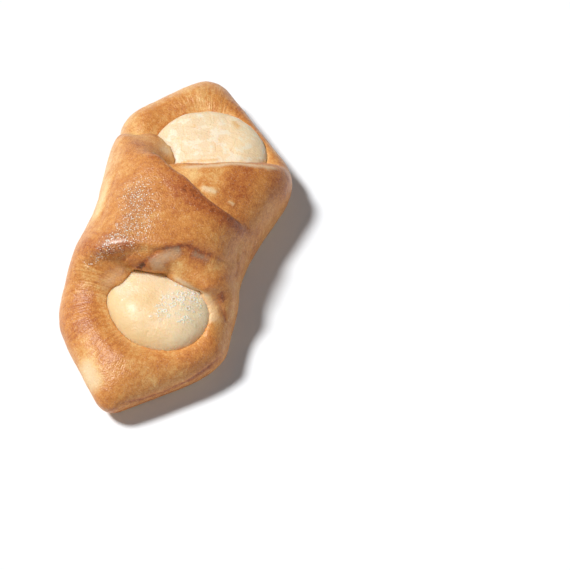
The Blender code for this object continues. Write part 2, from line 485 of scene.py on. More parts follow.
@dataclass
class Swelling:
    """One rounded body of cheese: its middle, half sizes and turn in plan."""

    middle: Point
    half: Point
    turn: float = 0
    crown: float = 2

    def share(self, places: np.ndarray) -> np.ndarray:
        """Measure places from the middle in plan.

        Args:
            places: The places.

        Returns:
            Each one's distance, 1 on the swelling's widest line.
        """
        x = places[:, 0] - self.middle[0] * MM
        y = places[:, 1] - self.middle[1] * MM
        cos, sin = math.cos(math.radians(self.turn)), math.sin(math.radians(self.turn))
        return np.hypot((x * cos + y * sin) / (self.half[0] * MM), (y * cos - x * sin) / (self.half[1] * MM))

    def body(self) -> Piece:
        """The swelling as a closed body."""
        return ball(self.middle, self.half, self.turn, self.crown)


LOWER_CHEESE = Swelling((2.8, -25.2, 11.6), (17.6, 15.4, 8.2), -35, 2.6)
UPPER_CHEESE = Swelling((1.4, 32.8, 11.9), (18.9, 17.4, 8.1), -20, 2.6)
STRIP = Swelling((0.5, 4, 13.5), (15, 32, 7.5))


@dataclass
class CheeseBody:
    """The filling's form: two swellings joined by a strip, and its own uneven swell."""

    voxel: float = 0.6 * MM
    swell: float = 0.35 * MM
    swell_size: float = 9 * MM

    def body(self, name: str, grow: float = 0) -> Piece:
        """Fuse the swellings and the strip.

        Args:
            name: The new object's name.
            grow: How much larger it is all round.

        Returns:
            The filling.
        """
        piece = fused(name, [each.body() for each in (LOWER_CHEESE, UPPER_CHEESE, STRIP)], self.voxel, 4)
        skin = Skin(piece)
        skin.raise_by(crumble(skin.points, self.swell_size, 3, 21.0) * self.swell + grow)
        return piece


@dataclass
class Pillow:
    """The dough under the filling: a flat sole, a rounded wall, a raised rim and a basin at each opening."""

    wall_middle: float = 8 * MM
    sole_round: float = 7 * MM
    rim_round: float = 14 * MM
    rim_height: float = 17 * MM
    basin_floor: float = 13 * MM
    basin_start: float = 0.7
    basin_slope: float = 0.75

    def rise(self, places: np.ndarray) -> np.ndarray:
        """How far the top has risen from its wall to its rim.

        Args:
            places: Places in plan.

        Returns:
            Shares from 0 to 1.
        """
        rise = np.ones(len(places))
        for side in (-1, 1):
            wall, ahead, behind = (OUTLINE.wall(places[:, 1] + step, side) for step in (0, MM, -MM))
            slope = (ahead - behind) / (2 * MM)
            rise *= quarter_round((wall - places[:, 0]) * side / np.sqrt(1 + slope**2), self.rim_round)
        return rise

    def body(self) -> Piece:
        """Shape the pillow from a sphere.

        Returns:
            The pillow, closed.
        """
        line = OUTLINE.line
        angles = np.arctan2(line[:, 1], line[:, 0])
        order = np.argsort(angles)
        radii = np.hypot(line[:, 0], line[:, 1])[order]
        bm = bmesh.new()
        bmesh.ops.create_uvsphere(bm, u_segments=180, v_segments=80, radius=1)
        unit = np.array([v.co for v in bm.verts])
        angle = np.arctan2(unit[:, 1], unit[:, 0])
        reach = np.interp(angle, angles[order], radii, period=2 * math.pi)
        share = np.minimum(np.hypot(unit[:, 0], unit[:, 1]), 1)
        places = np.stack([np.cos(angle), np.sin(angle)], 1) * (reach * share)[:, None]
        inside = np.where(share > 0.9999, 0, OUTLINE.distance(places))
        sole = self.wall_middle * (1 - quarter_round(inside, self.sole_round))
        top = self.wall_middle + (self.rim_height - self.wall_middle) * self.rise(places)
        for swelling in (LOWER_CHEESE, UPPER_CHEESE):
            hollow = 1 - smooth_step((swelling.share(places) - self.basin_start) / self.basin_slope)
            top = top + (self.basin_floor - top) * np.where(top > self.basin_floor, hollow, 0)
        height = np.where(unit[:, 2] > 1e-6, top, sole)
        height = np.where(np.abs(unit[:, 2]) <= 1e-6, self.wall_middle, height)
        for vertex, place, z in zip(bm.verts, places, height):
            vertex.co = (*place, z)
        return object_from("pillow", bm)


@dataclass
class Flap:
    """A corner of the sheet folded over the filling, on an arch in X and Z. Its edges are heights in Y."""

    fold: Fold
    thick: float
    arch_foot: float
    arch_top: tuple[float, ...]
    sweep: tuple[float, float]
    near_edge: tuple[float, ...]
    far_edge: tuple[float, ...]
    taper: float = 1
    rim_swell: float = 0
    proud: float = 0
    arch_power: float = 0.8
    edge_round: float = 10
    plan_round: float = 8

    def middle(self, along: np.ndarray, across: np.ndarray) -> np.ndarray:
        """Points of the flap's middle surface.

        Args:
            along: Share from the root to the end.
            across: Share from the near edge to the far edge.

        Returns:
            One point a row.
        """
        side = self.fold.value
        start, stop = (math.radians(angle) for angle in self.sweep)
        angle = start + (stop - start) * along
        near = through(self.near_edge, along)
        y = near + (through(self.far_edge, along) - near) * across
        inset = side * (self.thick * MM / 2 - self.proud * MM)
        root = OUTLINE.wall(y, side) - inset
        end = OUTLINE.wall(y, -side) + inset
        foot = self.arch_foot * MM
        cos, sin = np.cos(angle), np.sin(angle)
        x = (root + end) / 2 - (end - root) / 2 * np.sign(cos) * np.abs(cos) ** self.arch_power
        rise = np.sign(sin) * np.abs(sin) ** self.arch_power
        return np.stack([x, y, foot + (through(self.arch_top, across) - foot) * rise], -1)

    def outward(self, along: np.ndarray, across: np.ndarray) -> np.ndarray:
        """Find the middle surface's outward normals.

        Args:
            along: Share from the root to the end.
            across: Share from the near edge to the far edge.

        Returns:
            One normal a row.
        """
        step = 1e-3
        by_along = self.middle(along + step, across) - self.middle(along - step, across)
        by_across = self.middle(along, across + step) - self.middle(along, across - step)
        normal = np.cross(by_along, by_across) * -self.fold.value
        return normal / np.maximum(np.linalg.norm(normal, axis=1), 1e-12)[:, None]

    def body(self) -> Piece:
        """Lay two grids a rounded thickness apart and weld their borders.

        Returns:
            The flap, closed.
        """
        bm = bmesh.new()
        for side in (1, -1):
            verts = bmesh.ops.create_grid(bm, x_segments=96, y_segments=60, size=1)["verts"]
            even = np.sin(np.array([v.co[:2] for v in verts]) * math.pi / 2)
            largest = np.abs(even).max(1)
            power = (np.abs(even) ** self.plan_round).sum(1) ** (1 / self.plan_round)
            even = even * np.where(power > 0, largest / np.maximum(power, 1e-9), 1)[:, None]
            along, across = (even[:, 0] + 1) / 2, (even[:, 1] + 1) / 2
            thick = self.thick * MM * (1 + (self.taper - 1) * along) * (1 + self.rim_swell * largest**4)
            half = np.sqrt(np.maximum(1 - largest**self.edge_round, 0)) * thick / 2
            points = self.middle(along, across) + self.outward(along, across) * (side * half)[:, None]
            for vertex, point in zip(verts, points):
                vertex.co = point
        bmesh.ops.remove_doubles(bm, verts=bm.verts, dist=1e-6)
        return object_from("flap", bm)


RIGHT_FLAP = Flap(
    Fold.RIGHT,
    thick=6.5,
    arch_foot=8,
    arch_top=(22.5, 22.5, 22),
    sweep=(-20, 125),
    near_edge=(-26, -23.5, -21, -20, -15, -11),
    far_edge=(36, 35, 31.5, 26.5, 21, 16),
)
LEFT_FLAP = Flap(
    Fold.LEFT,
    thick=7,
    taper=0.5,
    rim_swell=0.25,
    proud=0.3,
    arch_foot=9,
    arch_top=(27.5, 28, 28),
    sweep=(-20, 172),
    near_edge=(-35, -28, -21.5, -18, -13.5, -10.5, -8),
    far_edge=(36, 33.5, 27, 17.5, 7.5, 5.5, 7),
)


@dataclass
class Wiring:
    """Builds the nodes of one material or shader group."""

    tree: bpy.types.NodeTree

    def feed(self, node: bpy.types.Node, inputs: dict[str | int, object]) -> None:
        """Give a node's sockets their values or links.

        Args:
            node: The node.
            inputs: Socket names or numbers, each with a value or the socket that feeds it.
        """
        for key, value in inputs.items():
            if isinstance(value, Socket):
                self.tree.links.new(value, node.inputs[key])
            else:
                node.inputs[key].default_value = value

    def node(self, kind: str, inputs: dict[str | int, object], **settings: object) -> bpy.types.Node:
        """Add a node.

        Args:
            kind: The node's type, without its ShaderNode prefix.
            inputs: Socket names or numbers, each with a value or the socket that feeds it.
            settings: The node's own settings.

        Returns:
            The new node.
        """
        made = self.tree.nodes.new(kind if kind.startswith("Node") else "ShaderNode" + kind)
        for name, value in settings.items():
            setattr(made, name, value)
        self.feed(made, inputs)
        return made

    def math(self, operation: str, *values: object) -> Socket:
        """A Math node's result."""
        return self.node("Math", dict(enumerate(values)), operation=operation).outputs[0]

    def times(self, first: object, second: object) -> Socket:
        """One value times another."""
        return self.math("MULTIPLY", first, second)

    def onto(self, value: object, amount: object, base: object) -> Socket:
        """A value times an amount, added onto a base."""
        return self.math("MULTIPLY_ADD", value, amount, base)

    def swing(self, value: object, amount: object, base: object) -> Socket:
        """A value around 0.5 times an amount, added onto a base."""
        return self.onto(self.math("SUBTRACT", value, 0.5), amount, base)

    def fitted(self, value: object, low: float, high: float, start: float = 0, end: float = 1) -> Socket:
        """A value mapped from low..high to start..end, clamped and eased."""
        inputs = {"Value": value, "From Min": low, "From Max": high, "To Min": start, "To Max": end}
        return self.node("MapRange", inputs, interpolation_type="SMOOTHSTEP").outputs[0]

    def mixed(self, share: object, first: object, second: object) -> Socket:
        """Two colours mixed by a share."""
        return self.node("Mix", {0: share, 6: first, 7: second}, data_type="RGBA").outputs[2]

    def attribute(self, name: str, output: str = "Fac") -> Socket:
        """A named attribute of the mesh."""
        return self.node("Attribute", {}, attribute_name=name).outputs[output]

    def place(self) -> Socket:
        """Where each point lies on the piece."""
        return self.node("TexCoord", {}).outputs["Object"]

    def cells(self, size: float, randomness: float, **settings: object) -> bpy.types.NodeOutputs:
        """The outputs of a texture that fills the piece with cells of this size in metres."""
        inputs = {"Vector": self.place(), "Scale": 1 / size, "Randomness": randomness}
        return self.node("TexVoronoi", inputs, **settings).outputs

    def chance(self, cells: bpy.types.NodeOutputs) -> Socket:
        """Each cell's own chance, from 0 to 1."""
        return self.node("SeparateColor", {0: cells["Color"]}).outputs[0]


def material(name: str) -> tuple[bpy.types.Material, Wiring, bpy.types.Node]:
    """Start a material.

    Args:
        name: Its name.

    Returns:
        The material, the wiring of its nodes and its Principled BSDF.
    """
    made = bpy.data.materials.new(name)
    made.use_nodes = True
    return made, Wiring(made.node_tree), made.node_tree.nodes["Principled BSDF"]


class Shade:
    """The speckle, layered noise on the piece's own coordinates: a shader group that both finishes share."""

    def __init__(self) -> None:
        """Build the group: Size in millimetres, Detail and Contrast in; Value and Height out."""
        self.speckle = bpy.data.node_groups.new("speckle", "ShaderNodeTree")
        socket = self.speckle.interface.new_socket
        for name, value in (("Size", 1.0), ("Detail", 3.0), ("Contrast", 1.0)):
            socket(name, in_out="INPUT", socket_type="NodeSocketFloat").default_value = value
        for name in ("Value", "Height"):
            socket(name, in_out="OUTPUT", socket_type="NodeSocketFloat")
        wire = Wiring(self.speckle)
        given = wire.node("NodeGroupInput", {}).outputs
        inputs = {
            "Vector": wire.place(),
            "Scale": wire.math("DIVIDE", 1 / MM, given["Size"]),
            "Detail": given["Detail"],
            "Roughness": 0.6,
        }
        centred = wire.math("SUBTRACT", wire.node("TexNoise", inputs).outputs["Fac"], 0.5)
        value = wire.node("Clamp", {"Value": wire.onto(centred, given["Contrast"], 0.5)}).outputs[0]
        wire.node("NodeGroupOutput", {"Value": value, "Height": centred})

    def spots(self, wire: Wiring, values: Point) -> tuple[Socket, Socket]:
        """Place the speckle in a material.

        Args:
            wire: The material's wiring.
            values: The speckle's size in millimetres, its detail and its contrast.

        Returns:
            The value and the height.
        """
        inputs = dict(zip(("Size", "Detail", "Contrast"), values))
        made = wire.node("Group", inputs, node_tree=self.speckle).outputs
        return made["Value"], made["Height"]


@dataclass(frozen=True)
class CrustFinish:
    """Egg-washed baked crust, pale inner dough to dark brown by how much a place has baked, with painted
    glints.
    """

    tones: tuple[Colour, ...] = (
        (0.92, 0.70, 0.38, 1),
        (0.86, 0.54, 0.21, 1),
        (0.68, 0.278, 0.070, 1),
        (0.43, 0.118, 0.030, 1),
        (0.11, 0.028, 0.010, 1),
    )
    pale: Colour = (0.82, 0.61, 0.38, 1)
    # glint: colour of painted highlights, specks of the egg wash's glint mixed into the base colour.
    glint: Colour = (1.0, 0.92, 0.77, 1)
    patches: Point = (6.0, 4.0, 2.2)
    blotches: Point = (1.5, 3.0, 2.2)
    grain: Point = (0.45, 2.0, 2.6)
    fine: Point = (0.9, 1.0, 1.0)
    patch_swing: float = 0.13
    blotch_swing: float = 0.17
    grain_swing: float = 0.16
    pale_swing: float = 0.2
    streak_tone: float = -0.34
    streak_height: float = 2.2
    blotch_height: float = 0.6
    dot_height: float = 0.25
    roughness: float = 0.36
    matt: float = 0.75
    glazed: float = 0.25
    coat_roughness: float = 0.38
    speck: float = 0.55 * MM
    # Shares of painted glint specks: in the glossy band, and scattered over the whole crust.
    sparkle: float = 0.9
    glint_specks: float = 0.12
    varnish: float = 0.05
    bump: float = 0.3
    shiny_bump: float = 0.6
    bump_depth: float = 0.45 * MM
    specular: float = 0.4
    glow: float = 0.06
    glow_reach: Point = (1.5, 0.8, 0.4)

    def material(self, shade: Shade) -> bpy.types.Material:
        """Build the crust's material.

        Args:
            shade: The shared shader group.

        Returns:
            The material.
        """
        made, wire, surface = material("crust")
        patches, _ = shade.spots(wire, self.patches)
        blotches, height = shade.spots(wire, self.blotches)
        grain, grain_height = shade.spots(wire, self.grain)
        _, fine_height = shade.spots(wire, self.fine)
        inputs = {"Vector": wire.attribute("flow", "Vector"), "Scale": 1.0, "Detail": 2.0}
        flow = wire.node("TexNoise", inputs)
        streak = wire.times(wire.math("SUBTRACT", flow.outputs["Fac"], 0.5), wire.attribute("streak"))
        tone = wire.swing(patches, self.patch_swing, wire.attribute("bake"))
        tone = wire.swing(blotches, self.blotch_swing, tone)
        tone = wire.swing(grain, self.grain_swing, tone)
        ramp = wire.node("ValToRGB", {"Fac": wire.onto(streak, self.streak_tone, tone)})
        stops = ramp.color_ramp.elements
        while len(stops) < len(self.tones):
            stops.new(0.5)
        for i, colour in enumerate(self.tones):
            stops[i].position = i / (len(self.tones) - 1)
            stops[i].color = colour
        bare = wire.fitted(wire.swing(blotches, self.pale_swing, wire.attribute("pale")), 0.08, 1.0)
        shine = wire.fitted(wire.attribute("gloss"), 0.1, 1.0)
        # Painted glints: small cells mixed towards the glint colour, dense where the gloss is high, sparse
        # elsewhere.
        specks = wire.cells(self.speck, 1.0)
        chance = wire.chance(specks)
        dots = wire.fitted(specks["Distance"], 0.2, 0.5, 1, 0)
        shown = wire.fitted(wire.onto(wire.swing(blotches, 0.7, shine), 0.55, chance), 0.68, 0.98)
        sparkle = wire.times(wire.times(dots, shown), wire.fitted(shine, 0.0, 0.5))
        glint_specks = wire.times(dots, wire.fitted(chance, 0.6, 0.9, 0, self.glint_specks))
        colour = wire.mixed(bare, ramp.outputs["Color"], self.pale)
        rough = wire.onto(bare, self.matt - self.roughness, self.roughness)
        height = wire.math("ADD", wire.onto(height, self.blotch_height, grain_height), fine_height)
        height = wire.onto(streak, self.streak_height, wire.onto(dots, self.dot_height, height))
        strength = wire.onto(shine, self.shiny_bump, self.bump)
        bump = {"Height": height, "Strength": strength, "Distance": self.bump_depth}
        # The base colour carries the painted glints on top of the baked tone.
        finish = {
            "Base Color": wire.mixed(wire.onto(sparkle, self.sparkle, glint_specks), colour, self.glint),
            "Roughness": wire.onto(shine, self.glazed - self.roughness, rough),
            "Coat Weight": wire.onto(shine, 1 - self.varnish, self.varnish),
            "Coat Roughness": self.coat_roughness,
            "Specular IOR Level": self.specular,
            "Subsurface Weight": self.glow,
            "Subsurface Radius": self.glow_reach,
            "Subsurface Scale": 1 * MM,
            "Normal": wire.node("Bump", bump).outputs["Normal"],
        }
        wire.feed(surface, finish)
        return made


@dataclass(frozen=True)
class CheeseFinish:
    """Baked curd cheese: pale cream, yellower low down, toasted in places, wet where it has bubbled; painted
    sheen and highlights where wet, painted light on its right side.
    """

    cream: Colour = (0.87, 0.67, 0.43, 1)
    yellow: Colour = (0.85, 0.60, 0.31, 1)
    # toast: toasted curd, and for one mark the colour of a painted shadow in a gap.
    toast_and_shade: Colour = (0.82, 0.47, 0.15, 1)
    # white: paler mottles on the upper curd, and the colour of painted highlights on wet parts and bubble
    # rings.
    white: Colour = (1.0, 0.92, 0.79, 1)
    olive: Colour = (0.42, 0.30, 0.08, 1)
    # pale: colour of the painted light on the curd's right side.
    pale: Colour = (1.0, 0.73, 0.46, 1)
    blotches: Point = (3.0, 3.0, 2.5)
    grain: Point = (0.6, 2.0, 1.5)
    bubble: float = 1.75 * MM
    ring: float = 0.36
    fizz: float = 1.9
    fizz_ring: float = 0.3
    crack_size: float = 5 * MM
    crack_tone: float = 0.13
    mottle: float = 0.45
    # How much whiter wet curd is painted, as a painted sheen.
    painted_wet_sheen: float = 0.22
    roughness: float = 0.5
    wet_roughness: float = 0.28
    wet_coat: float = 0.45
    coat_roughness: float = 0.16
    bump: float = 0.6
    bump_depth: float = 0.3 * MM
    glow: float = 0.6
    glow_reach: Point = (6.0, 4.4, 2.8)

    def material(self, shade: Shade) -> bpy.types.Material:
        """Build the cheese's material.

        Args:
            shade: The shared shader group.

        Returns:
            The material.
        """
        made, wire, surface = material("cheese")
        wet, crazed = wire.attribute("gloss"), wire.attribute("crazed")
        blotches, blotch_height = shade.spots(wire, self.blotches)
        grain, height = shade.spots(wire, self.grain)
        froth = wire.fitted(wire.swing(blotches, 0.3, wire.attribute("froth")), 0.1, 0.4)
        bubbles = wire.cells(self.bubble, 0.9)
        chance = wire.chance(bubbles)
        off_ring = wire.math("ABSOLUTE", wire.math("SUBTRACT", bubbles["Distance"], self.ring))
        # Bubble rings: painted highlights mixed towards white where the froth is, with a bump as well.
        ring = wire.times(wire.fitted(off_ring, 0.04, 0.15, 1, 0), froth)
        ring = wire.times(ring, wire.fitted(grain, 0.15, 0.6, 0.3, 1))
        small = wire.cells(self.bubble / self.fizz, 1.0)
        off_small = wire.math("ABSOLUTE", wire.math("SUBTRACT", small["Distance"], self.fizz_ring))
        fizz = wire.times(wire.fitted(off_small, 0.03, 0.14, 0.55, 0), froth)
        ring = wire.math("MAXIMUM", ring, wire.times(fizz, wire.fitted(chance, 0.3, 0.5)))
        pit = wire.times(wire.fitted(bubbles["Distance"], 0.05, 0.2, 1, 0), wire.fitted(chance, 0.6, 0.7))
        pit = wire.times(pit, froth)
        plates = wire.cells(self.crack_size, 1.0, feature="DISTANCE_TO_EDGE")
        crack = wire.fitted(wire.swing(blotches, 0.15, plates["Distance"]), 0.0, 0.04, 1, 0)
        crack = wire.times(crack, crazed)
        colour = self.cream
        for share, tone in (
            (wire.fitted(wire.swing(blotches, 0.7, wire.attribute("yellow")), 0, 1), self.yellow),
            # Painted light on the right side, which faces away from the key lamp.
            (wire.attribute("painted_right_light"), self.pale),
            (wire.times(wire.fitted(blotches, 0.5, 0.75, 0, self.mottle), crazed), self.white),
            # Painted sheen: whiter where the curd is wet.
            (wire.times(wet, self.painted_wet_sheen), self.white),
            (wire.fitted(wire.swing(blotches, 0.5, wire.attribute("toast_and_shade")), 0.1, 1), self.toast_and_shade),
            (wire.times(crack, self.crack_tone), self.toast_and_shade),
            # Painted highlights on the bubble rings.
            (wire.times(ring, 0.95), self.white),
            (wire.times(pit, 0.8), self.olive),
        ):
            colour = wire.mixed(share, colour, tone)
        for value, amount in ((ring, 1.6), (pit, -1.5), (crack, -0.3), (blotch_height, 1.5)):
            height = wire.onto(value, amount, height)
        bump = {"Height": height, "Strength": self.bump, "Distance": self.bump_depth}
        finish = {
            "Base Color": colour,
            "Roughness": wire.onto(wet, self.wet_roughness - self.roughness, self.roughness),
            "Coat Weight": wire.times(wet, self.wet_coat),
            "Coat Roughness": self.coat_roughness,
            "Subsurface Weight": self.glow,
            "Subsurface Radius": self.glow_reach,
            "Subsurface Scale": 1 * MM,
            "Normal": wire.node("Bump", bump).outputs["Normal"],
        }
        wire.feed(surface, finish)
        return made


